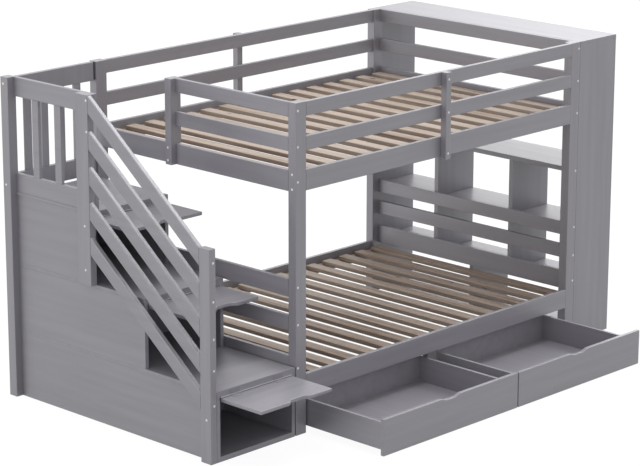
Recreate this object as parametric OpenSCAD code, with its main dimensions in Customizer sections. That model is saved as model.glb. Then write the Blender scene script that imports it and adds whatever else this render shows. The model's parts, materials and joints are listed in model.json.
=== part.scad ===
// Full-size bunk bed with a storage staircase on its left end, a bookshelf on its
// right end and two roll-out drawers. Drawers and flaps are drawn open.
// Working frame: X along the bed, Y from the front to the rear, Z up from the floor.

/* [Bed frame] */
// Length over the bed posts
bed_l = 2070; // [1900:5:2300]
// Width over the bed posts
bed_w = 1420; // [1300:5:1700]
// Height of the posts
bed_h = 1595; // [1500:5:1800]
// Width of a bed post along the bed
post_x = 68; // [50:1:90]
// Depth of a bed post across the bed
post_y = 50; // [44:1:58]
// Thickness of rails and guard boards
rail_t = 22; // [16:1:28]
// Radius on the long edges of the wood
edge_r = 3; // [1:0.5:4]

/* [Rails] */
// From the top of the posts down to the top of the upper rails
upper_drop = 319; // [300:1:360]
// Top of the lower side rails
lower_top = 292; // [270:1:320]
// Height of the side and end rails
rail_h = 100; // [80:1:110]
// From the top of the posts down to the top of the middle guard rails
guard_mid_drop = 162; // [150:1:180]
// Height of a guard rail
guard_h = 68; // [50:1:80]
// How far the rear rails stand in front of the rear face of the posts
rear_set = 18; // [10:1:22]
// Width of the battens that tie the guard rails
batten_w = 36; // [30:1:60]
// Thickness of the battens
batten_t = 36; // [20:1:44]
// Middle of the battens, as a share of the bed's length
batten_mid_share = 0.49; // [0.45:0.01:0.55]
// How far the battens reach below the top of the upper rails
batten_drop = 109; // [60:1:110]

/* [Ends] */
// Top of the upper footboard rail
foot_top = 757; // [700:1:800]
// Height of the upper footboard rail
foot_top_h = 86; // [60:1:100]
// Top of the middle footboard rail
foot_mid_top = 582; // [500:1:600]
// Top of the lower footboard rail
foot_low_top = 386; // [370:1:420]
// Top of the upper headboard rail
head_top = 640; // [620:1:700]
// Top of the middle headboard rail
head_mid_top = 517; // [490:1:530]
// Top of the lower headboard rail
head_low_top = 378; // [360:1:400]
// Height of the slim end rails
end_slim_h = 72; // [50:1:80]
// Clear width of the opening at the top of the stairs
entry_open = 524; // [450:1:560]
// Width of that post
entry_post_w = 43; // [30:1:60]

/* [Slats] */
// Slats in each deck
slat_count = 16; // [8:1:18]
// Width of a slat
slat_w = 66; // [50:1:80]
// Thickness of a slat
slat_t = 21; // [12:1:24]
// How far the slats lie below the top of the rails
slat_drop = 24; // [18:1:40]
// Width of the ledgers that carry the slats
ledger_w = 45; // [38:1:60]
// Height of the ledgers
ledger_h = 30; // [20:1:40]

/* [Staircase] */
// Gap between the staircase and the bed posts
stair_gap = 8; // [4:1:20]
// Width of the staircase boxes
stair_w = 503; // [420:1:600]
// From the top step up to the top of the upper rails
last_rise = 256; // [230:1:290]
// Depth of the top step
step_3_depth = 525; // [480:1:540]
// Front of the second step, as a share of the front of the third
step_2_share = 0.558; // [0.5:0.002:0.6]
// Thickness of the side panels and backs
panel_t = 20; // [16:1:24]
// Thickness of the treads
tread_t = 18; // [15:1:25]
// Thickness of the outer stair posts
stair_post_t = 38; // [30:1:44]
// Depth of the newel post
newel_y = 68; // [50:1:80]
// From the top of the bed posts down to the top of the newel post
newel_drop = 581; // [500:1:600]
// How far the middle stair post stands in front of the third step
mid_post_lead = 49; // [30:1:60]
// Width of the middle stair post
mid_post_w = 88; // [60:1:110]
// Width of the rear stair post
rear_post_x = 51; // [44:1:70]
// From the rear face of the bed posts to the front of the rear stair post
rear_post_y = 40; // [34:1:60]
// How far the rear stair post stands out behind the bed posts
rear_post_back = 14; // [0:1:16]

/* [Stair guards] */
// Height of the rails above the third step
stair_rail_h = 94; // [70:1:100]
// Thickness of the vertical slats
guard_slat_t = 18; // [14:1:21]
// Width of the side guard slats
side_slat_w = 47; // [40:1:60]
// Gap from the middle post to the first side slat
side_slat_first = 150; // [100:1:160]
// Gap between the side slats
side_slat_gap = 115; // [90:1:140]
// Width of the rear guard slats
rear_slat_w = 41; // [30:1:50]
// Gap from the rear stair post to the first rear slat
rear_slat_first = 52; // [30:1:80]
// Gap between the rear slats
rear_slat_gap = 63; // [40:1:80]
// Number of diagonal rails
diag_count = 5; // [3:1:5]
// Height of the lower end of the lowest diagonal rail
diag_foot = 251; // [240:1:320]
// Width of a diagonal rail
diag_w = 68; // [50:1:80]
// Thickness of a diagonal rail
diag_t = 24; // [18:1:30]

/* [Flaps] */
// How much shorter a flap is than the rise of a step
flap_short = 82; // [76:1:110]
// Thickness of a flap
flap_t = 17; // [14:1:20]
// Gap on each side of a flap
flap_gap = 2; // [1:0.5:3]
// Distance from the top of a step to an open flap
flap_drop = 34; // [30:1:45]
// Width of the finger notch
notch_w = 150; // [100:1:170]
// Depth of the finger notch
notch_d = 22; // [15:1:30]
// Length of the curve at each end of the finger notch
notch_ease = 42; // [20:1:48]
// Middle of the finger notch, as a share of the flap's width
notch_mid_share = 0.55; // [0.45:0.01:0.6]
// Length of a hinge
hinge_l = 60; // [40:1:80]
// Width of a hinge leaf
leaf_w = 22; // [16:1:26]
// Thickness of a hinge leaf
leaf_t = 1.5; // [1:0.1:2]
// Radius of a hinge knuckle
knuckle_r = 3.5; // [3:0.1:4.5]
// Radius of a hinge pin
pin_r = 1.6; // [1.2:0.1:2]

/* [Bookshelf] */
// Depth of the bookshelf beyond the bed
shelf_x = 295; // [220:1:400]
// Thickness of the bookshelf boards
shelf_t = 25; // [18:1:28]
// Top of the tall shelf
shelf_2_top = 927; // [850:1:950]
// Top of the middle shelf
shelf_3_top = 612; // [560:1:650]
// Top of the low shelf
shelf_4_top = 307; // [260:1:340]
// Top of the bottom board
shelf_5_top = 45; // [40:1:80]
// Front face of the first divider, as a share of the bed's width
divider_1_share = 0.3014; // [0.27:0.0001:0.33]
// Front face of the second divider, as a share of the bed's width
divider_2_share = 0.6704; // [0.63:0.0001:0.7]
// Front face of the single divider of the bottom row, as a share of the bed's width
divider_3_share = 0.4866; // [0.45:0.0001:0.53]

/* [Drawers] */
// How far the drawers are pulled out
drawer_out = 490; // [300:1:500]
// From each end of the bed to the drawer fronts
front_inset = 74; // [70:1:120]
// Height of a drawer front
front_h = 179; // [150:1:182]
// Thickness of a drawer front
front_t = 20; // [16:1:24]
// Gap under a drawer front
front_lift = 3; // [2:1:8]
// Gap between the two drawer fronts
front_gap = 6; // [3:1:12]
// How much narrower a drawer box is than its front
box_short = 90; // [20:1:140]
// Depth of a drawer box behind its front
box_y = 545; // [450:1:600]
// Height of the drawer sides
side_h = 132; // [90:1:136]
// Thickness of the drawer sides
side_t = 15; // [12:1:18]
// Thickness of the drawer bottom
bottom_t = 6; // [5:0.5:9]
// Underside of the drawer sides
box_lift = 32; // [32:1:42]
// Width of the grip cut into a front
grip_w = 150; // [110:1:200]
// Depth of that grip
grip_d = 11; // [8:1:16]
// Length of the curve at each end of the grip
grip_ease = 50; // [20:1:54]
// Radius of a drawer wheel
wheel_r = 14; // [10:0.5:14]
// Width of a drawer wheel
wheel_w = 14; // [10:1:20]

/* [Hidden] */

paint = "#8c8b92";
pine = "#cdbca8";
steel = "#b9bcc0";
plastic = "#3a3b3f";
curve_fn = 24;
round_fn = 48;

// Levels and widths that follow from the sizes above
upper_top = bed_h - upper_drop;
guard_mid_top = bed_h - guard_mid_drop;
rear_rail_y = bed_w - rear_set - rail_t;
entry_post_y = bed_w - post_y - entry_open - entry_post_w;
front_w = (bed_l - front_gap) / 2 - front_inset;
box_w = front_w - box_short;

// Places along the staircase
rise = (upper_top - last_rise) / 3;
newel_h = bed_h - newel_drop;
flap_l = rise - flap_short;
stair_in = -stair_gap;
stair_out = -stair_gap - stair_w;
post_out = stair_out - stair_post_t;
panel_rear_y = bed_w - rear_post_y;
step_3_y = panel_rear_y - step_3_depth;
step_2_y = step_3_y * step_2_share;
mid_post_y = step_3_y - mid_post_lead;
step_y = [0, step_2_y, step_3_y];
level = [rise, 2 * rise, 3 * rise];
curb_h = 10;
inner_x = stair_in - panel_t;
outer_x = stair_out + panel_t;

// The origin is under the middle of the whole outline
mid_x = (post_out + bed_l + shelf_x) / 2;
mid_y = (rear_rail_y + rail_t + batten_t - drawer_out) / 2;

upper_deck = upper_top - slat_drop;
lower_deck = lower_top - slat_drop;
rail_l = bed_l - 2 * post_x;
end_l = bed_w - 2 * post_y;

// Rounded profile of a board, drawn from its low corner
module profile(w, h, r) {
    translate([r, 0]) square([w - 2 * r, h]);
    translate([0, r]) square([w, h - 2 * r]);
    for (x = [r, w - r], y = [r, h - r])
        translate([x, y]) circle(r, $fn = curve_fn);
}

// Board with low corner o and size s, its four longest edges rounded
module board(o, s, r = edge_r) {
    along_x = s[0] >= s[1] && s[0] >= s[2];
    along_y = !along_x && s[1] >= s[2];
    translate(o)
        if (along_x)
            rotate([90, 0, 90]) linear_extrude(s[0]) profile(s[1], s[2], r);
        else if (along_y)
            translate([0, s[1], 0]) rotate([90, 0, 0]) linear_extrude(s[1]) profile(s[0], s[2], r);
        else
            linear_extrude(s[2]) profile(s[0], s[1], r);
}

// Soft notch in an edge, from its right end to its left end: offsets and depths
notch_steps = 12;
function notch_half(w, d, ease) = [for (k = [0 : notch_steps])
    [w / 2 - ease * k / notch_steps, d * (1 - cos(180 * k / notch_steps)) / 2]];
function notch_points(w, d, ease) = concat(
    notch_half(w, d, ease),
    [for (k = [notch_steps : -1 : 0]) let (p = notch_half(w, d, ease)[k]) [-p[0], p[1]]]
);

// Puts working coordinates into the part's own frame
module part() {
    translate([-mid_x, -mid_y, 0]) children();
}

// Bed frame
module bed_post(x, y) {
    color(paint) part() board([x, y, 0], [post_x, post_y, bed_h]);
}
module post_front_left() { bed_post(0, 0); }
module post_front_right() { bed_post(bed_l - post_x, 0); }
module post_rear_left() { bed_post(0, bed_w - post_y); }
module post_rear_right() { bed_post(bed_l - post_x, bed_w - post_y); }

module side_rails(top, h) {
    color(paint) part()
        for (y = [0, rear_rail_y])
            board([post_x, y, top - h], [rail_l, rail_t, h]);
}
module upper_side_rails() { side_rails(upper_top, rail_h); }
module lower_side_rails() { side_rails(lower_top, rail_h); }

module guard_pair(y) {
    color(paint) part()
        for (top = [guard_mid_top, bed_h])
            board([post_x, y, top - guard_h], [rail_l, rail_t, guard_h]);
}
module front_guard_rails() { guard_pair(0); }
module rear_guard_rails() { guard_pair(rear_rail_y); }

module batten(y) {
    low = upper_top - batten_drop;
    color(paint) part()
        board([bed_l * batten_mid_share - batten_w / 2, y, low], [batten_w, batten_t, bed_h - low]);
}
module front_batten() { batten(-batten_t); }
module rear_batten() { batten(rear_rail_y + rail_t); }

module upper_end_rails() {
    color(paint) part()
        for (x = [0, bed_l - rail_t])
            board([x, post_y, upper_top - rail_h], [rail_t, end_l, rail_h]);
}
module left_end_guards() {
    color(paint) part()
        for (top = [guard_mid_top, bed_h])
            board([0, post_y, top - guard_h], [rail_t, entry_post_y - post_y, guard_h]);
}
module right_end_guards() {
    color(paint) part()
        for (top = [guard_mid_top, bed_h])
            board([bed_l - rail_t, post_y, top - guard_h], [rail_t, end_l, guard_h]);
}

// Post at the stair opening: it laps the face of the end rail and steps back above it
entry_lap = 30;
entry_depth = 66;
module entry_post() {
    low = upper_top - rail_h;
    color(paint) part() difference() {
        board([-entry_lap, entry_post_y, low], [entry_depth, entry_post_w, bed_h - low]);
        translate([0, entry_post_y - edge_r, low - edge_r])
            cube([entry_depth, entry_post_w + 2 * edge_r, rail_h + edge_r]);
    }
}

module end_rail(x, top, h) {
    board([x, post_y, top - h], [rail_t, end_l, h]);
}
module footboard_rails() {
    color(paint) part() {
        end_rail(0, foot_top, foot_top_h);
        end_rail(0, foot_mid_top, end_slim_h);
        end_rail(0, foot_low_top, rail_h);
    }
}
module headboard_rails() {
    color(paint) part() {
        end_rail(bed_l - rail_t, head_top, end_slim_h);
        end_rail(bed_l - rail_t, head_mid_top, end_slim_h);
        end_rail(bed_l - rail_t, head_low_top, rail_h);
    }
}

// Decks
module ledgers(deck) {
    color(pine) part()
        for (y = [rail_t, rear_rail_y - ledger_w])
            board([post_x, y, deck - slat_t - ledger_h], [rail_l, ledger_w, ledger_h]);
}
module upper_ledgers() { ledgers(upper_deck); }
module lower_ledgers() { ledgers(lower_deck); }

// The slats start just behind the front posts and end on the rear ledger
slat_clear = 1.5;
slat_end_share = 0.58;
slat_head_share = 0.27;
slat_front_y = post_y + slat_clear;
slat_rear_y = rear_rail_y - ledger_w * slat_end_share;
slat_space = bed_l - 2 * rail_t - slat_count * slat_w;
slat_gap = slat_space / (slat_count - 1 + 2 * slat_head_share);
slat_head_gap = slat_gap * slat_head_share;
module slats(deck) {
    color(pine) part()
        for (i = [0 : slat_count - 1])
            board([rail_t + slat_head_gap + i * (slat_w + slat_gap), slat_front_y, deck - slat_t],
                  [slat_w, slat_rear_y - slat_front_y, slat_t]);
}
module upper_slats() { slats(upper_deck); }
module lower_slats() { slats(lower_deck); }

// Staircase posts
module stair_newel() {
    color(paint) part() board([post_out, 0, 0], [stair_post_t, newel_y, newel_h]);
}
module stair_mid_post() {
    color(paint) part()
        board([post_out, mid_post_y, level[1]], [stair_post_t, mid_post_w, bed_h - level[1]]);
}
module stair_rear_post() {
    color(paint) part()
        board([post_out, panel_rear_y, 0],
              [rear_post_x, rear_post_y + rear_post_back, bed_h]);
}

// Diagonal rails, plumb cut between the newel and the middle post
diag_run = mid_post_y - newel_y;
diag_rise = bed_h - newel_h;
diag_cos = diag_run / sqrt(diag_run * diag_run + diag_rise * diag_rise);
diag_plumb = diag_w / diag_cos;
diag_pitch = (newel_h - diag_plumb - diag_foot) / max(diag_count - 1, 1);
module diagonal_rails() {
    color(paint) part()
        for (i = [0 : diag_count - 1])
            translate([post_out, 0, -i * diag_pitch])
                rotate([90, 0, 90])
                    linear_extrude(diag_t)
                        polygon([
                            [newel_y, newel_h], [newel_y, newel_h - diag_plumb],
                            [mid_post_y, bed_h - diag_plumb], [mid_post_y, bed_h]
                        ]);
}

// Guard along the side of the upper steps
guard_low = level[2] + curb_h;
module side_guard() {
    first_y = mid_post_y + mid_post_w + side_slat_first;
    color(paint) part() {
        for (z = [guard_low, bed_h - stair_rail_h])
            board([stair_out, mid_post_y, z], [rail_t, panel_rear_y - mid_post_y, stair_rail_h]);
        for (i = [0, 1])
            board([stair_out, first_y + i * (side_slat_w + side_slat_gap), guard_low + stair_rail_h],
                  [guard_slat_t, side_slat_w, bed_h - guard_low - 2 * stair_rail_h]);
    }
}

// Guard at the rear of the upper steps
rear_slats = 4;
module rear_guard() {
    x0 = post_out + rear_post_x;
    color(paint) part() {
        for (z = [guard_low, bed_h - stair_rail_h])
            board([x0, rear_rail_y, z], [-x0, rail_t, stair_rail_h]);
        for (i = [0 : rear_slats - 1])
            board([x0 + rear_slat_first + i * (rear_slat_w + rear_slat_gap), rear_rail_y,
                   guard_low + stair_rail_h],
                  [rear_slat_w, guard_slat_t, bed_h - guard_low - 2 * stair_rail_h]);
    }
}

// Staircase boxes
function box_low(i) = i == 0 ? 0 : level[i - 1];
module side_panel(x, i, top) {
    color(paint) part()
        board([x, step_y[i], box_low(i)],
              [panel_t, panel_rear_y - step_y[i], top - box_low(i)], edge_r / 3);
}
module outer_panel_1() { side_panel(stair_out, 0, level[0] - tread_t); }
module outer_panel_2() { side_panel(stair_out, 1, level[1] - tread_t); }
module outer_panel_3() { side_panel(stair_out, 2, level[2] + curb_h); }
module inner_panel_1() { side_panel(inner_x, 0, level[0] - tread_t); }
module inner_panel_2() { side_panel(inner_x, 1, level[1] - tread_t); }
module inner_panel_3() { side_panel(inner_x, 2, level[2] - tread_t); }

module tread(i, x0) {
    color(paint) part()
        board([x0, step_y[i], level[i] - tread_t],
              [stair_in - x0, panel_rear_y - step_y[i], tread_t], edge_r / 3);
}
module tread_1() { tread(0, stair_out); }
module tread_2() { tread(1, stair_out); }
module tread_3() { tread(2, outer_x); }

bottom_board_h = 25;
module stair_bottom() {
    color(paint) part()
        board([outer_x, 0, 0], [inner_x - outer_x, panel_rear_y, bottom_board_h], edge_r / 3);
}
module stair_backs() {
    w = inner_x - outer_x;
    color(paint) part() {
        board([outer_x, step_2_y - panel_t, bottom_board_h],
              [w, panel_t, level[0] - tread_t - bottom_board_h], edge_r / 3);
        board([outer_x, step_3_y - panel_t, level[0]], [w, panel_t, rise - tread_t], edge_r / 3);
        board([outer_x, panel_rear_y - panel_t, level[1]], [w, panel_t, rise - tread_t], edge_r / 3);
    }
}

// Headers under the treads; the flaps hang from them
axis_z = [for (l = level) l - flap_drop + knuckle_r];
header_gap = 1;
header_t = 16;
module stair_headers() {
    color(paint) part()
        for (i = [0 : 2])
            translate([outer_x, step_y[i], axis_z[i] + header_gap])
                cube([inner_x - outer_x, header_t, level[i] - tread_t - axis_z[i] - header_gap]);
}

// Flap drawn open: its top face is its outer face when it is closed
flap_w = inner_x - outer_x - 2 * flap_gap;
flap_x = outer_x + flap_gap;
module flap(i) {
    y1 = step_y[i] - knuckle_r - header_gap;
    y0 = y1 - flap_l;
    mid = flap_x + flap_w * notch_mid_share;
    color(paint) part()
        translate([0, 0, axis_z[i] - knuckle_r - flap_t])
            linear_extrude(flap_t)
                polygon(concat(
                    [[flap_x, y1], [flap_x, y0]],
                    [for (p = notch_points(notch_w, notch_d, notch_ease)) [mid - p[0], y0 + p[1]]],
                    [[flap_x + flap_w, y0], [flap_x + flap_w, y1]]
                ));
}
module flap_1() { flap(0); }
module flap_2() { flap(1); }
module flap_3() { flap(2); }

// Butt hinges: the middle knuckle turns with the flap, the outer two stay
hinge_inset = 60;
knuckle_gap = 0.4;
pin_clear = 0.05;
hinge_x = [flap_x + hinge_inset, flap_x + flap_w - hinge_inset - hinge_l];
module knuckle(x, l) {
    translate([x, 0, 0]) rotate([0, 90, 0]) difference() {
        cylinder(r = knuckle_r, h = l, $fn = round_fn);
        translate([0, 0, -l]) cylinder(r = pin_r + pin_clear, h = 3 * l, $fn = round_fn);
    }
}
knuckle_l = hinge_l / 3;
module moving_leaves(i) {
    color(steel) part()
        for (x = hinge_x)
            translate([0, step_y[i] - knuckle_r, axis_z[i]]) {
                knuckle(x + knuckle_l + knuckle_gap, knuckle_l - 2 * knuckle_gap);
                difference() {
                    union() {
                        translate([x, -leaf_w - knuckle_r, -knuckle_r])
                            cube([hinge_l, leaf_w, leaf_t]);
                        translate([x + knuckle_l + knuckle_gap, -knuckle_r - leaf_t, -knuckle_r])
                            cube([knuckle_l - 2 * knuckle_gap, knuckle_r + leaf_t, leaf_t]);
                    }
                    translate([x - hinge_l, 0, 0]) rotate([0, 90, 0])
                        cylinder(r = pin_r + pin_clear, h = 3 * hinge_l, $fn = round_fn);
                }
            }
}
module flap_1_leaves() { moving_leaves(0); }
module flap_2_leaves() { moving_leaves(1); }
module flap_3_leaves() { moving_leaves(2); }

module hinge_fixed_leaves() {
    color(steel) part()
        for (i = [0 : 2], x = hinge_x)
            translate([0, step_y[i] - knuckle_r, axis_z[i]]) {
                for (k = [0, 2])
                    knuckle(x + k * knuckle_l, knuckle_l);
                for (k = [0, 2])
                    translate([x + k * knuckle_l, knuckle_r - leaf_t, 0])
                        cube([knuckle_l, leaf_t, knuckle_r + leaf_t]);
                translate([x, knuckle_r - leaf_t, knuckle_r + knuckle_gap])
                    cube([hinge_l, leaf_t, leaf_w - knuckle_gap]);
            }
}
module hinge_pins() {
    color(steel) part()
        for (i = [0 : 2], x = hinge_x)
            translate([x, step_y[i] - knuckle_r, axis_z[i]])
                rotate([0, 90, 0]) cylinder(r = pin_r, h = hinge_l, $fn = round_fn);
}

// Bookshelf
shelf_end = bed_l + shelf_x;
module shelf_sides() {
    color(paint) part()
        for (y = [0, bed_w - shelf_t])
            board([bed_l, y, 0], [shelf_x, shelf_t, bed_h - shelf_t], edge_r / 2);
}
module shelf_top() {
    color(paint) part()
        board([bed_l, 0, bed_h - shelf_t], [shelf_x, bed_w, shelf_t], edge_r / 2);
}
module shelf_boards() {
    color(paint) part()
        for (top = [shelf_2_top, shelf_3_top, shelf_4_top, shelf_5_top])
            board([bed_l, shelf_t, top - shelf_t], [shelf_x, bed_w - 2 * shelf_t, shelf_t], edge_r / 2);
}
module divider(y, low, top) {
    board([bed_l, y, low], [shelf_x, shelf_t, top - shelf_t - low], edge_r / 2);
}
module shelf_dividers() {
    color(paint) part() {
        for (y = bed_w * [divider_1_share, divider_2_share]) {
            divider(y, shelf_3_top, shelf_2_top);
            divider(y, shelf_4_top, shelf_3_top);
        }
        divider(bed_w * divider_3_share, shelf_5_top, shelf_4_top);
    }
}

// Drawers: the front covers the box and runs past it on the right
front_x = [(bed_l - front_gap) / 2 - front_w, (bed_l + front_gap) / 2];
grip_mid_share = 0.487;
module drawer_front(x) {
    mid = front_w * grip_mid_share;
    color(paint) part()
        translate([x, -drawer_out + front_t, front_lift])
            rotate([90, 0, 0])
                linear_extrude(front_t)
                    polygon(concat(
                        [[0, 0], [front_w, 0], [front_w, front_h]],
                        [for (p = notch_points(grip_w, grip_d, grip_ease)) [mid + p[0], front_h - p[1]]],
                        [[0, front_h]]
                    ));
}
module drawer_left_front() { drawer_front(front_x[0]); }
module drawer_right_front() { drawer_front(front_x[1]); }

box_inset = 3;
module drawer_box(x0) {
    x = x0 + box_inset;
    y = -drawer_out + front_t;
    color(paint) part() {
        for (dx = [0, box_w - side_t])
            translate([x + dx, y, box_lift]) cube([side_t, box_y, side_h]);
        translate([x + side_t, y + box_y - side_t, box_lift])
            cube([box_w - 2 * side_t, side_t, side_h]);
        translate([x + side_t, y, box_lift])
            cube([box_w - 2 * side_t, box_y - side_t, bottom_t]);
    }
}
module drawer_left_box() { drawer_box(front_x[0]); }
module drawer_right_box() { drawer_box(front_x[1]); }

// Wheels under the drawer bottom, each in a fork with its own pin
floor_gap = 0.3;
axle_r = 2.5;
axle_clear = 0.05;
fork_t = 3;
fork_gap = 1;
wheel_inset_x = 90;
wheel_inset_y = 60;
axle_z = wheel_r + floor_gap;
wheel_dx = [wheel_inset_x, box_w - wheel_inset_x - wheel_w];
wheel_dy = [wheel_inset_y, box_y - wheel_inset_y];
function wheel_y(k) = -drawer_out + front_t + wheel_dy[k];

module wheel_pair(x0, k) {
    color(plastic) part()
        for (dx = wheel_dx)
            translate([x0 + box_inset + dx, wheel_y(k), axle_z])
                rotate([0, 90, 0]) difference() {
                    cylinder(r = wheel_r, h = wheel_w, $fn = round_fn);
                    translate([0, 0, -wheel_w])
                        cylinder(r = axle_r + axle_clear, h = 3 * wheel_w, $fn = round_fn);
                }
}
module left_front_wheels() { wheel_pair(front_x[0], 0); }
module left_rear_wheels() { wheel_pair(front_x[0], 1); }
module right_front_wheels() { wheel_pair(front_x[1], 0); }
module right_rear_wheels() { wheel_pair(front_x[1], 1); }

// Each fork: two cheeks hung from a plate, with the pin through both
cheek_w = 14;
plate_t = 2;
plate_over = 12;
module wheel_forks(x0) {
    span = wheel_w + 2 * fork_gap;
    color(steel) part()
        for (dx = wheel_dx, k = [0, 1])
            translate([x0 + box_inset + dx - fork_gap, wheel_y(k), 0]) {
                for (cx = [-fork_t, span])
                    translate([cx, -cheek_w / 2, axle_z - cheek_w / 2])
                        cube([fork_t, cheek_w, box_lift - axle_z + cheek_w / 2 - plate_t]);
                translate([-fork_t, -cheek_w / 2 - plate_over, box_lift - plate_t])
                    cube([span + 2 * fork_t, cheek_w + 2 * plate_over, plate_t]);
                translate([-fork_t, 0, axle_z])
                    rotate([0, 90, 0])
                        cylinder(r = axle_r, h = span + 2 * fork_t, $fn = round_fn);
            }
}
module left_wheel_forks() { wheel_forks(front_x[0]); }
module right_wheel_forks() { wheel_forks(front_x[1]); }

post_front_left();
post_front_right();
post_rear_left();
post_rear_right();
upper_side_rails();
lower_side_rails();
front_guard_rails();
rear_guard_rails();
front_batten();
rear_batten();
upper_end_rails();
left_end_guards();
right_end_guards();
entry_post();
footboard_rails();
headboard_rails();
upper_ledgers();
lower_ledgers();
upper_slats();
lower_slats();
stair_newel();
stair_mid_post();
stair_rear_post();
diagonal_rails();
side_guard();
rear_guard();
outer_panel_1();
outer_panel_2();
outer_panel_3();
inner_panel_1();
inner_panel_2();
inner_panel_3();
tread_1();
tread_2();
tread_3();
stair_bottom();
stair_backs();
stair_headers();
flap_1();
flap_2();
flap_3();
flap_1_leaves();
flap_2_leaves();
flap_3_leaves();
hinge_fixed_leaves();
hinge_pins();
shelf_sides();
shelf_top();
shelf_boards();
shelf_dividers();
drawer_left_front();
drawer_left_box();
drawer_right_front();
drawer_right_box();
left_wheel_forks();
right_wheel_forks();
left_front_wheels();
left_rear_wheels();
right_front_wheels();
right_rear_wheels();
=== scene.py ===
import json
import math

import bmesh
import bpy
from mathutils import Matrix, Vector


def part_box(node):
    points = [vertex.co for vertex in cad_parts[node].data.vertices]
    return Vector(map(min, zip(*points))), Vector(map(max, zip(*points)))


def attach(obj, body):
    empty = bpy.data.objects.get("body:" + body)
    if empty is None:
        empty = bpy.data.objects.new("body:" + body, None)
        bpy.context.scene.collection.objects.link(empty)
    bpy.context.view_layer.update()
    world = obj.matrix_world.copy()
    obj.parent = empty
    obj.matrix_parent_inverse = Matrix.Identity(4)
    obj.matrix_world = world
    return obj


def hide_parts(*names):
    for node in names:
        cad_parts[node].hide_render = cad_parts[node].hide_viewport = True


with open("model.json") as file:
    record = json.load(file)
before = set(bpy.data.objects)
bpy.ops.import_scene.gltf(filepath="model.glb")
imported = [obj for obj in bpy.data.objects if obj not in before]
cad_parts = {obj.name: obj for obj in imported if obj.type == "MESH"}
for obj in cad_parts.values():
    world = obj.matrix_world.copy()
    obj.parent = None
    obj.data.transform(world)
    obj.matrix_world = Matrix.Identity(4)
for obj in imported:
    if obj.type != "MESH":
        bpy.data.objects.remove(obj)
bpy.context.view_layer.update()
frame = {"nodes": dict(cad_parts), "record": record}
nodes = frame["nodes"]
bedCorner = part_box("post_front_left")[0]  # sizes below are in metres unless a note says mm
print("frame loaded:", len(nodes), "nodes")


# Millimetres from the floor corner of the front left post
def onBed(x, y, z):
    return bedCorner + Vector((x, y, z)) / 1000.0


def newMaterial(name):
    mat = bpy.data.materials.new(name)
    mat.use_nodes = True
    tree = mat.node_tree
    tree.nodes.clear()
    out = tree.nodes.new("ShaderNodeOutputMaterial")
    shader = tree.nodes.new("ShaderNodeBsdfPrincipled")
    tree.links.new(shader.outputs["BSDF"], out.inputs["Surface"])
    return mat, tree, shader


def addNode(tree, kind, **values):
    node = tree.nodes.new(kind)
    for key, value in values.items():
        if key in node.inputs:
            node.inputs[key].default_value = value
        else:
            setattr(node, key, value)
    return node


def objectCoords(tree, scale, shift=None):
    coords = addNode(tree, "ShaderNodeTexCoord")
    source = coords.outputs["Object"]
    if shift is not None:
        moved = addNode(tree, "ShaderNodeVectorMath", operation="ADD")
        tree.links.new(source, moved.inputs[0])
        tree.links.new(shift, moved.inputs[1])
        source = moved.outputs["Vector"]
    mapping = addNode(tree, "ShaderNodeMapping")
    mapping.inputs["Scale"].default_value = scale
    tree.links.new(source, mapping.inputs["Vector"])
    return mapping.outputs["Vector"]


def colourRamp(tree, source, places, colours):
    ramp = addNode(tree, "ShaderNodeValToRGB")
    tree.links.new(source, ramp.inputs["Fac"])
    elements = ramp.color_ramp.elements
    while len(elements) < len(places):
        elements.new(0.5)
    for element, place, colour in zip(elements, places, colours):
        element.position = place
        element.color = (*colour, 1.0)
    return ramp.outputs["Color"]


# Feeds a texture the object's coordinates, stretched along one axis, as wood grain runs
def feedCoords(tree, texture, axis, stretch, shift=None):
    along, across = stretch
    scale = tuple(along if i == axis else across for i in range(3))
    tree.links.new(objectCoords(tree, scale, shift), texture.inputs["Vector"])


def addBump(tree, shader, height, strength, depth):
    bump = addNode(tree, "ShaderNodeBump", Strength=strength, Distance=depth)
    tree.links.new(height, bump.inputs["Height"])
    tree.links.new(bump.outputs["Normal"], shader.inputs["Normal"])


# Satin paint over wood: soft clouding, and a faint open grain along the board
paintLook = {
    "colour": (0.286, 0.278, 0.308),
    "darker": (0.244, 0.236, 0.264),
    "roughness": 0.38,
    "gloss": 0.94,
    "roughSpread": (-0.05, 0.08),
    "cloud": (1.6, 26.0),  # along and across the board
    "cloudStops": (0.25, 0.75),
    "grain": (6.0, 240.0),
    "grainBump": 0.10,
    "bumpDepth": 0.002,
}


def paintMaterial(name, axis):
    mat, tree, shader = newMaterial(name)
    cloud = addNode(tree, "ShaderNodeTexNoise", Scale=1.0, Detail=3.0, Roughness=0.5)
    feedCoords(tree, cloud, axis, paintLook["cloud"])
    base = colourRamp(tree, cloud.outputs["Fac"], paintLook["cloudStops"],
                      (paintLook["darker"], paintLook["colour"]))
    tree.links.new(base, shader.inputs["Base Color"])

    grain = addNode(tree, "ShaderNodeTexNoise", Scale=1.0, Detail=5.0, Roughness=0.65)
    feedCoords(tree, grain, axis, paintLook["grain"])
    addBump(tree, shader, grain.outputs["Fac"], paintLook["grainBump"], paintLook["bumpDepth"])

    rough = addNode(tree, "ShaderNodeMapRange")
    for label, change in zip(("To Min", "To Max"), paintLook["roughSpread"]):
        rough.inputs[label].default_value = paintLook["roughness"] + change
    tree.links.new(grain.outputs["Fac"], rough.inputs["Value"])
    tree.links.new(rough.outputs["Result"], shader.inputs["Roughness"])
    shader.inputs["Specular IOR Level"].default_value = paintLook["gloss"]
    return mat


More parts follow.
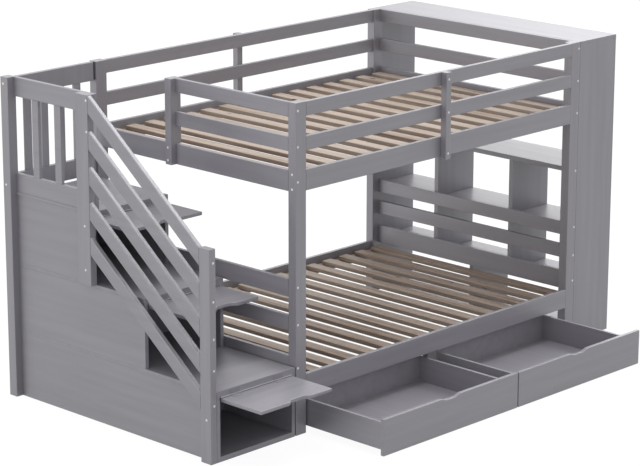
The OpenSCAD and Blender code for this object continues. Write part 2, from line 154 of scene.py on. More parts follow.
# Bare pine: wandering growth rings, fine fibres, a few knots, and a tone for each board
pineLook = {
    "light": (0.400, 0.323, 0.266),
    "middle": (0.321, 0.246, 0.194),
    "dark": (0.194, 0.135, 0.097),
    "knot": (0.090, 0.052, 0.034),
    # the lower deck's colour factor below is painted shade, not a different wood
    "lowerDeckShade": 0.95,
    "toneSpread": 0.16,
    "toneShift": (3.1, 5.7, 1.9),
    "rings": (1.5, 34.0),  # along and across the board
    "fibres": (9.0, 420.0),
    "fibreShare": 0.30,
    "stops": (0.48, 0.62, 0.80),
    "knots": (3.2, 10.0),
    "knotEdge": (0.10, 0.04),
    "grainBump": 0.18,
    "bumpDepth": 0.001,
    "roughness": 0.58,
}


def pineMaterial(name, axis, level=1.0):
    dark, middle, light, knot = (tuple(level * c for c in pineLook[k])
                                 for k in ("dark", "middle", "light", "knot"))
    mat, tree, shader = newMaterial(name)
    tone = addNode(tree, "ShaderNodeAttribute", attribute_name="boardTone")
    spreadOut = addNode(tree, "ShaderNodeVectorMath", operation="SCALE")
    spreadOut.inputs[0].default_value = pineLook["toneShift"]
    tree.links.new(tone.outputs["Fac"], spreadOut.inputs["Scale"])
    shift = spreadOut.outputs["Vector"]

    rings = addNode(tree, "ShaderNodeTexNoise", Scale=1.0, Detail=3.0, Roughness=0.55,
                    Distortion=0.6)
    feedCoords(tree, rings, axis, pineLook["rings"], shift)
    fibres = addNode(tree, "ShaderNodeTexNoise", Scale=1.0, Detail=3.0, Roughness=0.6)
    feedCoords(tree, fibres, axis, pineLook["fibres"], shift)
    mix = addNode(tree, "ShaderNodeMath", operation="MULTIPLY_ADD")
    mix.inputs[1].default_value = pineLook["fibreShare"]
    tree.links.new(fibres.outputs["Fac"], mix.inputs[0])
    tree.links.new(rings.outputs["Fac"], mix.inputs[2])
    toned = addNode(tree, "ShaderNodeMath", operation="MULTIPLY_ADD")
    toned.inputs[1].default_value = pineLook["toneSpread"]
    tree.links.new(tone.outputs["Fac"], toned.inputs[0])
    tree.links.new(mix.outputs["Value"], toned.inputs[2])
    wood = colourRamp(tree, toned.outputs["Value"], pineLook["stops"], (dark, middle, light))

    knots = addNode(tree, "ShaderNodeTexVoronoi", Scale=1.0, Randomness=1.0)
    feedCoords(tree, knots, axis, pineLook["knots"], shift)
    near = addNode(tree, "ShaderNodeMapRange", interpolation_type="SMOOTHSTEP")
    for label, reach in zip(("From Min", "From Max"), pineLook["knotEdge"]):
        near.inputs[label].default_value = reach
    tree.links.new(knots.outputs["Distance"], near.inputs["Value"])
    knotted = addNode(tree, "ShaderNodeMix", data_type="RGBA")
    tree.links.new(near.outputs["Result"], knotted.inputs["Factor"])
    tree.links.new(wood, knotted.inputs[6])  # 6, 7 and output 2 are the colour sockets
    knotted.inputs[7].default_value = (*knot, 1.0)
    tree.links.new(knotted.outputs[2], shader.inputs["Base Color"])

    addBump(tree, shader, fibres.outputs["Fac"], pineLook["grainBump"], pineLook["bumpDepth"])
    shader.inputs["Roughness"].default_value = pineLook["roughness"]
    return mat


# Small parts' finishes: one colour with fine specks in it, from its low to its high tone
speckLook = {"scale": 220.0, "stops": (0.3, 0.7), "bump": 0.08, "bumpDepth": 0.0004}
trimLooks = {
    "zincPlate": {"low": (0.42, 0.43, 0.45), "high": (0.60, 0.61, 0.63), "roughness": 0.34,
                  "metallic": 1.0},
    "wheelPlastic": {"low": (0.03, 0.03, 0.034), "high": (0.055, 0.055, 0.06), "roughness": 0.5,
                     "metallic": 0.0},
    "capPlastic": {"low": (0.80, 0.80, 0.80), "high": (0.88, 0.88, 0.88), "roughness": 0.45,
                   "metallic": 0.0},
    "paintedSteel": {"low": (0.250, 0.246, 0.270), "high": (0.272, 0.268, 0.292), "roughness": 0.36,
                     "metallic": 0.0},
}


def speckMaterial(name):
    look = trimLooks[name]
    mat, tree, shader = newMaterial(name)
    coords = addNode(tree, "ShaderNodeTexCoord")
    speck = addNode(tree, "ShaderNodeTexNoise", Scale=speckLook["scale"], Detail=2.0)
    tree.links.new(coords.outputs["Object"], speck.inputs["Vector"])
    tint = colourRamp(tree, speck.outputs["Fac"], speckLook["stops"], (look["low"], look["high"]))
    tree.links.new(tint, shader.inputs["Base Color"])
    addBump(tree, shader, speck.outputs["Fac"], speckLook["bump"], speckLook["bumpDepth"])
    shader.inputs["Roughness"].default_value = look["roughness"]
    shader.inputs["Metallic"].default_value = look["metallic"]
    return mat


paints = [paintMaterial("greyPaint" + letter, axis) for axis, letter in enumerate("XYZ")]
pines = [pineMaterial("pine" + letter, axis) for axis, letter in enumerate("XYZ")]
# The lower deck's pine is a darker copy of the upper deck's pine: painted shade for the shade that
# the upper deck casts on it
shadedLowerPine = pineMaterial("pineLowerPaintedShade", 1, pineLook["lowerDeckShade"])
zinc, wheelPlastic, capPlastic, paintedSteel = (speckMaterial(name) for name in trimLooks)

# Which way the boards of each node run
alongX = ["upper_side_rails", "lower_side_rails", "front_guard_rails", "rear_guard_rails",
          "stair_headers", "tread_1", "tread_2", "tread_3"]
alongY = ["upper_end_rails", "left_end_guards", "right_end_guards", "footboard_rails",
          "headboard_rails", "side_guard", "shelf_boards", "shelf_top", "stair_bottom",
          "drawer_left_box", "drawer_right_box", "outer_panel_1", "outer_panel_2",
          "outer_panel_3", "inner_panel_1", "inner_panel_2", "inner_panel_3"]


def dress(name, mat):
    slots = nodes[name].data.materials
    slots.clear()
    slots.append(mat)


for part in frame["record"]["subparts"]:
    name = part["node"]
    kind = part["material_slot"]
    if kind == "paint":
        dress(name, paints[0 if name in alongX else 1 if name in alongY else 2])
    elif kind == "pine":
        dress(name, pines[1 if "slats" in name else 0])
    elif "leaves" in name or name == "hinge_pins":
        dress(name, paintedSteel)
    elif kind == "steel":
        dress(name, zinc)
    else:
        dress(name, wheelPlastic)
print("materials on")


def finishMesh(bm, name):
    bmesh.ops.recalc_face_normals(bm, faces=bm.faces)
    mesh = bpy.data.meshes.new(name)
    bm.to_mesh(mesh)
    bm.free()
    return mesh


def addPiece(name, mesh, body, mat, stands=()):
    mesh.materials.clear()
    mesh.materials.append(mat)
    piece = bpy.data.objects.new(name, mesh)
    bpy.context.scene.collection.objects.link(piece)
    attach(piece, body)
    if stands:
        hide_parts(*stands)


# Edges sharper than this are rounded (radians), and a ring smaller than this is a pole (metres)
sharpAngle, poleRadius = 0.6, 1e-7


# A flat outline swept through its thickness, with its sharp edges rounded
def addSlab(bm, outline, sweep, edge, steps=3):
    face = bm.faces.new([bm.verts.new(p) for p in outline])
    swept = bmesh.ops.extrude_face_region(bm, geom=[face])
    fresh = [g for g in swept["geom"] if isinstance(g, bmesh.types.BMVert)]
    bmesh.ops.translate(bm, verts=fresh, vec=sweep)
    parts = set(face.verts) | set(fresh)
    edges = [e for e in bm.edges if e.verts[0] in parts and e.verts[1] in parts]
    bm.normal_update()
    sharp = [e for e in edges
             if len(e.link_faces) == 2 and abs(e.calc_face_angle(0.0)) > sharpAngle]
    bmesh.ops.bevel(bm, geom=sharp, offset=edge, segments=steps, profile=0.5, affect="EDGES")


def addBoard(bm, low, high, edge, steps=3):
    low, high = Vector(low), Vector(high)
    outline = [Vector(low), Vector((high.x, low.y, low.z)),
               Vector((high.x, high.y, low.z)), Vector((low.x, high.y, low.z))]
    addSlab(bm, outline, Vector((0, 0, high.z - low.z)), edge, steps)


# A soft notch, from one end of it to the other: offsets and depths
def notchLine(width, depth, ease, steps=14):
    half = [(width / 2 - ease * k / steps, depth * (1 - math.cos(math.pi * k / steps)) / 2)
            for k in range(steps + 1)]
    return half + [(-x, d) for x, d in reversed(half)]


# A closed or open profile of (radius, height) turned about an axis through the given point
def addTurned(bm, profile, centre, axis, steps, closed=False):
    turn = Vector((0, 0, 1)).rotation_difference(Vector(axis)).to_matrix()
    rings = []
    for radius, height in profile:
        angles = [2 * math.pi * k / steps for k in range(1 if radius < poleRadius else steps)]
        places = [Vector((radius * math.cos(a), radius * math.sin(a), height)) for a in angles]
        rings.append([bm.verts.new(Vector(centre) + turn @ place) for place in places])
    pairs = list(zip(rings, rings[1:])) + ([(rings[-1], rings[0])] if closed else [])
    for a, b in pairs:
        for k in range(steps):
            n = (k + 1) % steps
            ring = [a[k % len(a)], a[n % len(a)], b[n % len(b)], b[k % len(b)]]
            bm.faces.new(list(dict.fromkeys(ring)))


# Geometry Nodes helpers
def newTree(name, sockets):
    tree = bpy.data.node_groups.new(name, "GeometryNodeTree")
    tree.interface.new_socket("Geometry", in_out="OUTPUT", socket_type="NodeSocketGeometry")
    tree.interface.new_socket("Geometry", in_out="INPUT", socket_type="NodeSocketGeometry")
    for label, kind in sockets:
        tree.interface.new_socket(label, in_out="INPUT", socket_type="NodeSocket" + kind)
    start = tree.nodes.new("NodeGroupInput")
    end = tree.nodes.new("NodeGroupOutput")
    return tree, start, end


def closeTree(tree, start, end, instances):
    real = addNode(tree, "GeometryNodeRealizeInstances")
    tree.links.new(instances, real.inputs["Geometry"])
    finish = addNode(tree, "GeometryNodeSetMaterial")
    tree.links.new(real.outputs["Geometry"], finish.inputs["Geometry"])
    tree.links.new(start.outputs["Finish"], finish.inputs["Material"])
    tree.links.new(finish.outputs["Geometry"], end.inputs["Geometry"])


# Runs a tree on a mesh and returns the result as a plain mesh
def runTree(name, mesh, tree, values):
    holder = bpy.data.objects.new(name + "Source", mesh)
    modifier = holder.modifiers.new("build", "NODES")
    modifier.node_group = tree
    for item in tree.interface.items_tree:
        if item.item_type == "SOCKET" and item.in_out == "INPUT" and item.name in values:
            modifier[item.identifier] = values[item.name]
    bpy.context.scene.collection.objects.link(holder)
    graph = bpy.context.evaluated_depsgraph_get()
    plain = bpy.data.meshes.new_from_object(holder.evaluated_get(graph))
    plain.name = name
    holder.modifiers.remove(modifier)
    bpy.data.objects.remove(holder)
    return plain


# Equal boards in a row, each with its own tone and a little slide along its length
def makeRowTree():
    tree, start, end = newTree("rowOfBoards", [
        ("Count", "Int"), ("Step", "Vector"), ("Slide", "Vector"), ("Seed", "Int"),
        ("Finish", "Material")])
    line = addNode(tree, "GeometryNodeMeshLine", mode="OFFSET")
    tree.links.new(start.outputs["Count"], line.inputs["Count"])
    tree.links.new(start.outputs["Step"], line.inputs["Offset"])
    place = addNode(tree, "GeometryNodeInstanceOnPoints")
    tree.links.new(line.outputs["Mesh"], place.inputs["Points"])
    tree.links.new(start.outputs["Geometry"], place.inputs["Instance"])
    back = addNode(tree, "ShaderNodeVectorMath", operation="SCALE")
    back.inputs["Scale"].default_value = -1.0
    tree.links.new(start.outputs["Slide"], back.inputs[0])
    drift = addNode(tree, "FunctionNodeRandomValue", data_type="FLOAT_VECTOR")
    tree.links.new(back.outputs["Vector"], drift.inputs["Min"])
    tree.links.new(start.outputs["Slide"], drift.inputs["Max"])
    tree.links.new(start.outputs["Seed"], drift.inputs["Seed"])
    slide = addNode(tree, "GeometryNodeTranslateInstances")
    tree.links.new(place.outputs["Instances"], slide.inputs["Instances"])
    tree.links.new(drift.outputs["Value"], slide.inputs["Translation"])
    tone = addNode(tree, "FunctionNodeRandomValue", data_type="FLOAT")
    tree.links.new(start.outputs["Seed"], tone.inputs["Seed"])
    store = addNode(tree, "GeometryNodeStoreNamedAttribute", data_type="FLOAT", domain="INSTANCE")
    store.inputs["Name"].default_value = "boardTone"
    tree.links.new(slide.outputs["Instances"], store.inputs["Geometry"])
    tree.links.new(tone.outputs[1], store.inputs["Value"])  # the single number's output
    closeTree(tree, start, end, store.outputs["Geometry"])
    return tree


# One small form on each point, turned to face outwards and spun about its own axis
def makeFixingTree():
    tree, start, end = newTree("fixingsOnPoints", [
        ("Form", "Object"), ("Size", "Float"), ("Spin", "Float"), ("Seed", "Int"),
        ("Finish", "Material")])
    form = addNode(tree, "GeometryNodeObjectInfo", transform_space="ORIGINAL")
    tree.links.new(start.outputs["Form"], form.inputs["Object"])
    facing = addNode(tree, "GeometryNodeInputNamedAttribute", data_type="FLOAT_VECTOR")
    facing.inputs["Name"].default_value = "facing"
    aim = addNode(tree, "FunctionNodeAlignRotationToVector", axis="Z")
    tree.links.new(facing.outputs["Attribute"], aim.inputs["Vector"])
    spin = addNode(tree, "FunctionNodeRandomValue", data_type="FLOAT")
    tree.links.new(start.outputs["Spin"], spin.inputs[3])  # the single number's highest value
    tree.links.new(start.outputs["Seed"], spin.inputs["Seed"])
    about = addNode(tree, "ShaderNodeCombineXYZ")
    tree.links.new(spin.outputs[1], about.inputs["Z"])
    asTurn = addNode(tree, "FunctionNodeEulerToRotation")
    tree.links.new(about.outputs["Vector"], asTurn.inputs["Euler"])
    turned = addNode(tree, "FunctionNodeRotateRotation", rotation_space="LOCAL")
    tree.links.new(aim.outputs["Rotation"], turned.inputs["Rotation"])
    tree.links.new(asTurn.outputs["Rotation"], turned.inputs["Rotate By"])
    place = addNode(tree, "GeometryNodeInstanceOnPoints")
    tree.links.new(start.outputs["Geometry"], place.inputs["Points"])
    tree.links.new(form.outputs["Geometry"], place.inputs["Instance"])
    tree.links.new(turned.outputs["Rotation"], place.inputs["Rotation"])
    tree.links.new(start.outputs["Size"], place.inputs["Scale"])
    closeTree(tree, start, end, place.outputs["Instances"])
    return tree


rowTree = makeRowTree()
fixingTree = makeFixingTree()
print("trees made:", rowTree.name, fixingTree.name)


# Slatted decks
slatDecks = {"count": 16, "width": 0.066, "edge": 0.003, "slide": 0.0006,
             "seeds": {"upper_slats": 11, "lower_slats": 4}, "screwInset": (0.009, 0.010)}


def slatStep(low, high):
    return (high.x - low.x - slatDecks["width"]) / (slatDecks["count"] - 1)


for nodeName, seed in slatDecks["seeds"].items():
    wood = shadedLowerPine if nodeName == "lower_slats" else pines[1]
    low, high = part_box(nodeName)
    bm = bmesh.new()
    addBoard(bm, low, (low.x + slatDecks["width"], high.y, high.z), slatDecks["edge"])
    slat = finishMesh(bm, nodeName + "One")
    row = runTree(nodeName + "Row", slat, rowTree, {
        "Count": slatDecks["count"], "Step": (slatStep(low, high), 0.0, 0.0),
        "Slide": (0.0, slatDecks["slide"], 0.0), "Seed": seed, "Finish": wood})
    addPiece("deck_" + nodeName, row, "root", wood, [nodeName])
print("slats laid")


# Diagonal stair rails, plumb cut at both ends
diagonalRails = {"count": 5, "width": 0.068, "edge": 0.004, "seed": 2}


def makeDiagonals():
    low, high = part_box("diagonal_rails")
    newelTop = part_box("stair_newel")[1].z
    run, rise = high.y - low.y, high.z - newelTop
    plumb = diagonalRails["width"] * math.hypot(run, rise) / run
    pitch = (newelTop - plumb - low.z) / (diagonalRails["count"] - 1)
    outline = [Vector((low.x, low.y, newelTop)), Vector((low.x, low.y, newelTop - plumb)),
               Vector((low.x, high.y, high.z - plumb)), Vector((low.x, high.y, high.z))]
    bm = bmesh.new()
    addSlab(bm, outline, Vector((high.x - low.x, 0, 0)), diagonalRails["edge"])
    row = runTree("diagonals", finishMesh(bm, "diagonalOne"), rowTree, {
        "Count": diagonalRails["count"], "Step": (0.0, 0.0, -pitch), "Slide": (0.0, 0.0, 0.0),
        "Seed": diagonalRails["seed"], "Finish": paints[1]})
    addPiece("stair_diagonals", row, "root", paints[1], ["diagonal_rails"])


makeDiagonals()
print("diagonal rails set")


# Rear guard of the stairs: its top rail stops short of the bed post, and a near-black block in that
# gap is painted shade
rearGuard = {"railHeight": 0.094, "slatWidth": 0.041, "firstGap": 0.052, "slatGap": 0.063,
             "slats": 4, "slatThick": 0.018, "postGap": 0.008, "edge": 0.003,
             # the last four sizes place the near-black block beside the post, which is painted shade
             # in the gap
             "shadeBlockFront": 0.002, "shadeBlockFoot": 0.004, "shadeBlockSet": 0.003, "shadeBlockEdge": 0.001}


def makeRearGuard():
    low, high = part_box("rear_guard")
    rail = rearGuard["railHeight"]
    bm = bmesh.new()
    addBoard(bm, low, (high.x, high.y, low.z + rail), rearGuard["edge"])
    addBoard(bm, (low.x, low.y, high.z - rail), (high.x - rearGuard["postGap"], high.y, high.z),
             rearGuard["edge"])
    width, back = rearGuard["slatWidth"], low.y + rearGuard["slatThick"]
    for k in range(rearGuard["slats"]):
        x = low.x + rearGuard["firstGap"] + k * (width + rearGuard["slatGap"])
        addBoard(bm, (x, low.y, low.z + rail), (x + width, back, high.z - rail), rearGuard["edge"])
    addPiece("stair_rear_guard", finishMesh(bm, "rearGuard"), "root", paints[2],
             ["rear_guard"])
    shadeBlock = bmesh.new()  # near-black block in the gap beside the post: painted shade for the shadow in that gap
    addBoard(shadeBlock, (high.x - rearGuard["postGap"], low.y + rearGuard["shadeBlockFront"],
                   high.z - rail + rearGuard["shadeBlockFoot"]),
             (high.x, high.y - rearGuard["shadeBlockSet"], high.z - rearGuard["shadeBlockSet"]),
             rearGuard["shadeBlockEdge"], steps=2)
    addPiece("rear_guard_pad", finishMesh(shadeBlock, "rearGuardShadeBlock"), "root", wheelPlastic)


makeRearGuard()


# Sloped lip along the top of the rear outer panel
lipLook = {"proud": 0.007, "slope": 0.008, "foot": 0.003, "lap": 0.001, "edge": 0.0008}


def makeLip():
    low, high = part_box("outer_panel_3")
    lap, proud = lipLook["lap"], lipLook["proud"]
    start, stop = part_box("stair_mid_post")[1].y + lap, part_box("stair_rear_post")[0].y - lap
    top, shoulder = high.z + lap, high.z + lap - lipLook["slope"]
    foot = shoulder - lipLook["foot"]
    section = [(low.x + lap, top), (low.x - lap, top), (low.x - proud, shoulder),
               (low.x - proud, foot), (low.x + lap, foot)]
    outline = [Vector((x, start, z)) for x, z in section]
    bm = bmesh.new()
    addSlab(bm, outline, Vector((0, stop - start, 0)), lipLook["edge"], steps=2)
    addPiece("panel_lip", finishMesh(bm, "panelLip"), "root", paints[1])


makeLip()
print("rear guard and panel lip set")


# Centre leg under the front ledger, in the gap between the drawers: places in mm on the bed
legLook = {"low": (952, 24, 3), "high": (1014, 60, 217), "edge": 0.003,
           "glideInset": 5, "glideHeight": 4, "glideEdge": 0.0008}


def makeLeg():
    low, high, inset = legLook["low"], legLook["high"], legLook["glideInset"]
    bm = bmesh.new()
    addBoard(bm, onBed(*low), onBed(*high), legLook["edge"])
    addBoard(bm, onBed(low[0] + inset, low[1] + inset, 0),
             onBed(high[0] - inset, high[1] - inset, legLook["glideHeight"]),
             legLook["glideEdge"], steps=2)
    addPiece("centre_leg", finishMesh(bm, "centreLeg"), "root", paints[2])


makeLeg()
print("centre leg set")


# Flaps, with a soft finger notch in the free edge
flapNames = ("flap_1", "flap_2", "flap_3")
flapLook = {"notchWidth": 0.150, "notchDepth": 0.022, "notchEase": 0.042, "notchMiddle": 0.55,
            "edge": 0.0030, "reach": 0.0016}

for nodeName in flapNames:
    low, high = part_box(nodeName)
    middle = low.x + (high.x - low.x) * flapLook["notchMiddle"]
    notch = notchLine(flapLook["notchWidth"], flapLook["notchDepth"], flapLook["notchEase"])
    back = high.y + flapLook["reach"]
    outline = [Vector((low.x, back, low.z)), Vector((low.x, low.y, low.z))]
    outline += [Vector((middle - x, low.y + d, low.z)) for x, d in notch]
    outline += [Vector((high.x, low.y, low.z)), Vector((high.x, back, low.z))]
    bm = bmesh.new()
    addSlab(bm, outline, Vector((0, 0, high.z - low.z)), flapLook["edge"], steps=4)
    addPiece(nodeName + "_board", finishMesh(bm, nodeName + "Board"), nodeName, paints[0],
             [nodeName])


# A bead on each header closes the slot along the hinge line
beadLook = {"radius": 0.0032, "flange": 0.0015, "flangeFoot": 0.0030, "rise": 0.010,
            "knuckle": 0.0035, "overlap": 0.0004, "startAngle": -0.2, "stepAngle": -0.26,
            "points": 19, "axisSet": 0.001, "hinge": 0.060, "inset": 0.060, "endGap": 0.0005,
            "edge": 0.0003}


def makeBeads():
    bm = bmesh.new()
    r, k, rise = beadLook["radius"], beadLook["knuckle"], beadLook["rise"]
    inner = k - beadLook["flange"]
    angles = [beadLook["startAngle"] + beadLook["stepAngle"] * i for i in range(beadLook["points"])]
    section = [(k, rise), (k, -beadLook["overlap"])]
    section += [(r * math.cos(a), r * math.sin(a)) for a in angles]
    section += [(inner, beadLook["flangeFoot"]), (inner, rise)]
    inset, hinge, gap = beadLook["inset"], beadLook["hinge"], beadLook["endGap"]
    for nodeName in flapNames:
        low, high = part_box(nodeName)
        axisY, axisZ = high.y + beadLook["axisSet"], high.z + k
        stops = [low.x, low.x + inset, low.x + inset + hinge, high.x - inset - hinge,
                 high.x - inset, high.x]
        for x0, x1 in zip(stops[::2], stops[1::2]):
            outline = [Vector((x0 + gap, axisY + y, axisZ + z)) for y, z in section]
            addSlab(bm, outline, Vector((x1 - x0 - 2 * gap, 0, 0)), beadLook["edge"], steps=1)
    addPiece("flap_beads", finishMesh(bm, "flapBeads"), "root", paints[0])


makeBeads()
print("flaps hung")


# Drawer fronts, with a shallow grip in the top edge
frontLook = {"gripWidth": 0.150, "gripDepth": 0.011, "gripEase": 0.050, "gripMiddle": 0.487,
             "edge": 0.0030}

for side in ("left", "right"):
    nodeName = "drawer_" + side + "_front"
    low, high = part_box(nodeName)
    middle = low.x + (high.x - low.x) * frontLook["gripMiddle"]
    grip = notchLine(frontLook["gripWidth"], frontLook["gripDepth"], frontLook["gripEase"])
    outline = [Vector((low.x, high.y, low.z)), Vector((high.x, high.y, low.z)),
               Vector((high.x, high.y, high.z))]
    outline += [Vector((middle + x, high.y, high.z - d)) for x, d in grip]
    outline += [Vector((low.x, high.y, high.z))]
    bm = bmesh.new()
    addSlab(bm, outline, Vector((0, low.y - high.y, 0)), frontLook["edge"], steps=4)
    addPiece(nodeName + "_board", finishMesh(bm, nodeName + "Board"), "drawer_" + side,
             paints[0], [nodeName])
print("drawer fronts on")


# Drawer wheels: a soft tyre on a dished hub
wheelLook = {"width": 0.014, "bore": 0.00255, "boreLip": 0.0015, "boreSlope": 0.0022,
             "hub": 0.0085, "hubSlope": 0.0007, "hubSet": 0.0003, "shoulder": 0.0022,
             "angles": (0.5, 1.05, 1.5708), "dish": 0.0016, "steps": 40}


def makeWheels(nodeName):
    low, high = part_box(nodeName)
    radius = (high.z - low.z) / 2
    half, bore, hub = wheelLook["width"] / 2, wheelLook["bore"], wheelLook["hub"]
    shoulder, dish = wheelLook["shoulder"], wheelLook["dish"]
    side = [(bore, half), (bore + wheelLook["boreLip"], half),
            (bore + wheelLook["boreSlope"], half - dish), (hub, half - dish),
            (hub + wheelLook["hubSlope"], half - wheelLook["hubSet"]), (radius - shoulder, half)]
    side += [(radius - shoulder + shoulder * math.sin(a), half - shoulder + shoulder * math.cos(a))
             for a in wheelLook["angles"]]
    profile = side + [(r, -h) for r, h in reversed(side)]
    bm = bmesh.new()
    for x in (low.x + half, high.x - half):
        centre = Vector((x, (low.y + high.y) / 2, (low.z + high.z) / 2))
        addTurned(bm, profile, centre, (1, 0, 0), wheelLook["steps"], closed=True)
    addPiece(nodeName + "_tyres", finishMesh(bm, nodeName + "Tyres"), nodeName,
             wheelPlastic, [nodeName])


for side in ("left", "right"):
    for end in ("front", "rear"):
        makeWheels(side + "_" + end + "_wheels")
print("wheels on")


# Fixings: points with a facing, dressed by the fixing tree
fixingSeed = 5


def pointCloud(name, spots):
    mesh = bpy.data.meshes.new(name)
    mesh.from_pydata([tuple(place) for place, facing in spots], [], [])
    attribute = mesh.attributes.new("facing", "FLOAT_VECTOR", "POINT")
    for item, (place, facing) in zip(attribute.data, spots):
        item.vector = facing
    return mesh


def makeForm(name, bm):
    form = bpy.data.objects.new(name, finishMesh(bm, name))
    bpy.context.scene.collection.objects.link(form)
    return form


def addFixings(name, spots, form, size, spin, body, mat):
    mesh = runTree(name, pointCloud(name + "Points", spots), fixingTree, {
        "Form": form, "Size": size, "Spin": spin, "Seed": fixingSeed, "Finish": mat})
    addPiece(name, mesh, body, mat)


# White caps over the bolt heads: places in mm on the bed, with the way each cap faces
capLook = {"radius": 0.006, "height": 0.0013, "sink": 0.0008, "steps": 20,
           "profile": ((1.0, 0.35), (0.93, 0.62), (0.72, 0.84), (0.38, 0.97))}
left, front, rear = (-1, 0, 0), (0, -1, 0), (0, 1, 0)
capSpots = [
    (front, [(13, 0, z) for z in (1558, 1389, 1224, 722, 541, 331)]),
    (left, [(0, 25, z) for z in (1258, 1188)]),
    (front, [(2057, 0, z) for z in (1561, 1393, 1225, 921, 620, 468, 331)]),
    (left, [(-30, 828, z) for z in (1259, 1197)]),
    (front, [(-527, 0, z) for z in (949, 768, 592, 444, 277)]),
    (left, [(-549, 29, 209)]),
    (left, [(-549, 842, z) for z in (967, 754)]),
    (left, [(-549, 1412, z) for z in (1562, 1067)]),
    (left, [(-549, 815, z) for z in (1570, 1422)]),
    (front, [(1014, -36, z) for z in (1561, 1399, 1196)]),
    (rear, [(x, 1420, z) for x in (13, 2057) for z in (1558, 1389, 1224, 722, 541, 331)]),
    (rear, [(1014, 1438, z) for z in (1561, 1399, 1196)]),
]


def makeCapForm():
    r, h = capLook["radius"], capLook["height"]  # the profile is in shares of these
    profile = [(0.0, -capLook["sink"]), (r, -capLook["sink"])]
    profile += [(across * r, up * h) for across, up in capLook["profile"]] + [(0.0, h)]
    bm = bmesh.new()
    addTurned(bm, profile, (0, 0, 0), (0, 0, 1), capLook["steps"])
    return makeForm("capForm", bm)


# Pan head with a cross recess, as a polar grid whose rings are shares of radius and height;
# its spin is the most that a screw is turned, in radians
screwLook = {"radius": 0.0032, "height": 0.0007, "recess": 0.0011, "steps": 24, "armReach": 0.6,
             "core": 0.2, "spin": 3.0, "rings": ((0.18, 1.0), (0.36, 1.0), (0.54, 1.0), (0.66, 1.0),
                                                 (0.88, 0.8), (1.0, 0.15), (1.0, -1.0))}


def makeScrewForm():
    r, h, steps = screwLook["radius"], screwLook["height"], screwLook["steps"]
    bm = bmesh.new()
    rings = []
    for share, lift in screwLook["rings"]:
        ring = []
        for k in range(steps):
            angle = 2 * math.pi * k / steps
            inArm = k % (steps // 4) in (0, 1, steps // 4 - 1) and share < screwLook["armReach"]
            z = lift * h - (screwLook["recess"] if inArm or share < screwLook["core"] else 0.0)
            ring.append(bm.verts.new((r * share * math.cos(angle), r * share * math.sin(angle), z)))
        rings.append(ring)
    for a, b in zip(rings, rings[1:]):
        for k in range(steps):
            bm.faces.new((a[k], b[k], b[(k + 1) % steps], a[(k + 1) % steps]))
    bm.faces.new(rings[0])
    bm.faces.new(list(reversed(rings[-1])))
    return makeForm("screwForm", bm)


capForm = makeCapForm()
screwForm = makeScrewForm()
spots = [(onBed(*place), facing) for facing, places in capSpots for place in places]
addFixings("bolt_caps", spots, capForm, 1.0, 0.0, "root", capPlastic)

# Three screws in each hinge leaf, and one in each slat end
leafScrews = {"share": (0.17, 0.5, 0.83), "set": 0.011, "hinge": 0.060, "leafThick": 0.0015,
              "size": 0.8}


def leafSpots(low, high, z, y):
    return [(Vector((x0 + leafScrews["hinge"] * s, y, z)), (0, 0, 1))
            for x0 in (low.x, high.x - leafScrews["hinge"]) for s in leafScrews["share"]]


for nodeName in flapNames:
    low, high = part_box(nodeName + "_leaves")
    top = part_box(nodeName)[1].z + leafScrews["leafThick"]
    places = leafSpots(low, high, top, low.y + leafScrews["set"])
    addFixings(nodeName + "_screws", places, screwForm, leafScrews["size"], screwLook["spin"],
               nodeName, paintedSteel)

slatScrews = []
near, far = slatDecks["screwInset"]
for nodeName in slatDecks["seeds"]:
    low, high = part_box(nodeName)
    for k in range(slatDecks["count"]):
        x = low.x + slatDecks["width"] / 2 + k * slatStep(low, high)
        slatScrews += [(Vector((x, y, high.z)), (0, 0, 1)) for y in (low.y + near, high.y - far)]
addFixings("slat_screws", slatScrews, screwForm, 1.0, screwLook["spin"], "root", zinc)
for form in (capForm, screwForm):
    bpy.data.objects.remove(form)
print("caps and screws on:", len(spots) + len(slatScrews))


# The camera stands off the stair end, above the top rails: place in mm on the bed, angles in radians
cameraSetup = {
    "place": (-8051.27, -7918.50, 4050.94),
    "yaw": 0.8035,
    "pitch": 0.2649,
    "roll": 0.0017,
    "lens": 143.33,
    "sensor": 36.0,
    "farClip": 100.0,
}


def makeCamera():
    yaw, pitch, roll = (cameraSetup[k] for k in ("yaw", "pitch", "roll"))
    level = math.cos(pitch)
    ahead = Vector((math.sin(yaw) * level, math.cos(yaw) * level, -math.sin(pitch)))
    right = Vector((math.cos(yaw), -math.sin(yaw), 0.0))
    up = right.cross(ahead)
    x = math.cos(roll) * right + math.sin(roll) * up
    y = -math.sin(roll) * right + math.cos(roll) * up
    data = bpy.data.cameras.new("photoCamera")
    data.sensor_width = cameraSetup["sensor"]
    data.lens = cameraSetup["lens"]
    data.clip_end = cameraSetup["farClip"]
    camera = bpy.data.objects.new("photoCamera", data)
    turn = Matrix((x, y, -ahead)).transposed().to_4x4()
    camera.matrix_world = Matrix.Translation(onBed(*cameraSetup["place"])) @ turn
    bpy.context.scene.collection.objects.link(camera)
    bpy.context.scene.camera = camera


# Studio: each lamp has the way to it, its strength and its spread in degrees
studio = {
    "skyStrength": 0.72,
    "skyColour": (1.0, 0.995, 1.0),
    "lamps": {
        "overhead": {"towards": (0.0, 0.0, 1.0), "strength": 1.05, "spread": 20.0},
        "shelfSide": {"towards": (0.6, 0.0, 0.8), "strength": 1.02, "spread": 25.0},
        "stairSide": {"towards": (-1.0, 0.45, 0.05), "strength": 0.97, "spread": 30.0},
        "behind": {"towards": (1.0, 0.2, 0.3), "strength": 1.26, "spread": 60.0},
    },
    "floorGlow": 0.94,
    "floorShade": 0.08,
    "floorBounce": 0.30,
    "floorRoughness": 0.9,
    "floorGloss": 0.1,
    "floorReach": 30.0,
}


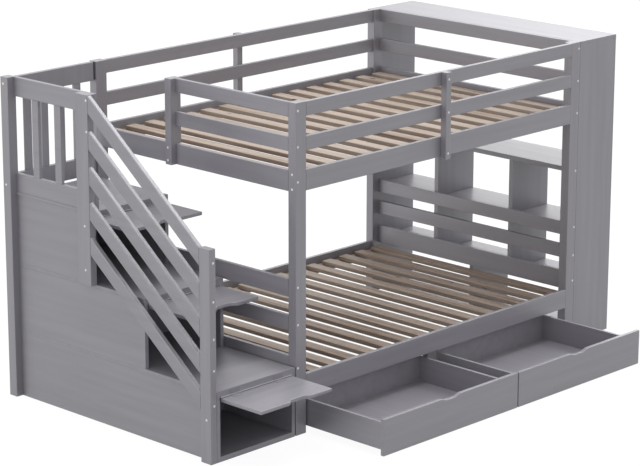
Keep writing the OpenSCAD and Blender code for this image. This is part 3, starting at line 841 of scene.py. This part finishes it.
# A factor that is 1 for rays that show the background itself
def backgroundRays(tree):
    path = addNode(tree, "ShaderNodeLightPath")
    total = path.outputs["Is Camera Ray"]
    for label in ("Is Glossy Ray", "Is Transmission Ray"):
        both = addNode(tree, "ShaderNodeMath", operation="MAXIMUM")
        tree.links.new(total, both.inputs[0])
        tree.links.new(path.outputs[label], both.inputs[1])
        total = both.outputs["Value"]
    return total


def makeFloor():
    mat, tree, shader = newMaterial("paleFloor")
    shader.inputs["Base Color"].default_value = (studio["floorBounce"],) * 3 + (1.0,)
    shader.inputs["Roughness"].default_value = studio["floorRoughness"]
    shader.inputs["Specular IOR Level"].default_value = studio["floorGloss"]
    shade = addNode(tree, "ShaderNodeBsdfDiffuse")
    shade.inputs["Color"].default_value = (studio["floorShade"],) * 3 + (1.0,)
    glow = addNode(tree, "ShaderNodeEmission", Strength=studio["floorGlow"])
    both = addNode(tree, "ShaderNodeAddShader")
    tree.links.new(shade.outputs["BSDF"], both.inputs[0])
    tree.links.new(glow.outputs["Emission"], both.inputs[1])
    pick = addNode(tree, "ShaderNodeMixShader")
    tree.links.new(backgroundRays(tree), pick.inputs[0])
    tree.links.new(shader.outputs["BSDF"], pick.inputs[1])
    tree.links.new(both.outputs["Shader"], pick.inputs[2])
    out = next(n for n in tree.nodes if n.type == "OUTPUT_MATERIAL")
    tree.links.new(pick.outputs["Shader"], out.inputs["Surface"])
    mesh = bpy.data.meshes.new("floor")
    reach = studio["floorReach"]
    corners = [(-reach, -reach, 0), (reach, -reach, 0), (reach, reach, 0), (-reach, reach, 0)]
    mesh.from_pydata(corners, [], [(0, 1, 2, 3)])
    mesh.materials.append(mat)
    floor = bpy.data.objects.new("floor", mesh)
    bpy.context.scene.collection.objects.link(floor)


def makeLights():
    world = bpy.data.worlds.new("studioSky")
    bpy.context.scene.world = world
    world.use_nodes = True
    tree = world.node_tree
    tree.nodes.clear()
    out = tree.nodes.new("ShaderNodeOutputWorld")
    soft = addNode(tree, "ShaderNodeBackground", Strength=studio["skyStrength"])
    soft.inputs["Color"].default_value = (*studio["skyColour"], 1.0)
    white = addNode(tree, "ShaderNodeBackground", Strength=1.0)
    white.inputs["Color"].default_value = (1.0, 1.0, 1.0, 1.0)
    pick = addNode(tree, "ShaderNodeMixShader")
    tree.links.new(backgroundRays(tree), pick.inputs[0])
    tree.links.new(soft.outputs["Background"], pick.inputs[1])
    tree.links.new(white.outputs["Background"], pick.inputs[2])
    tree.links.new(pick.outputs["Shader"], out.inputs["Surface"])
    for name, lamp in studio["lamps"].items():
        light = bpy.data.lights.new(name, "SUN")
        light.energy = lamp["strength"]
        light.angle = math.radians(lamp["spread"])
        holder = bpy.data.objects.new(name, light)
        holder.rotation_euler = Vector(lamp["towards"]).to_track_quat("Z", "Y").to_euler()
        bpy.context.scene.collection.objects.link(holder)


makeCamera()
makeFloor()
makeLights()
bpy.context.scene.view_settings.view_transform = "Standard"
print("camera, floor and lights in place")
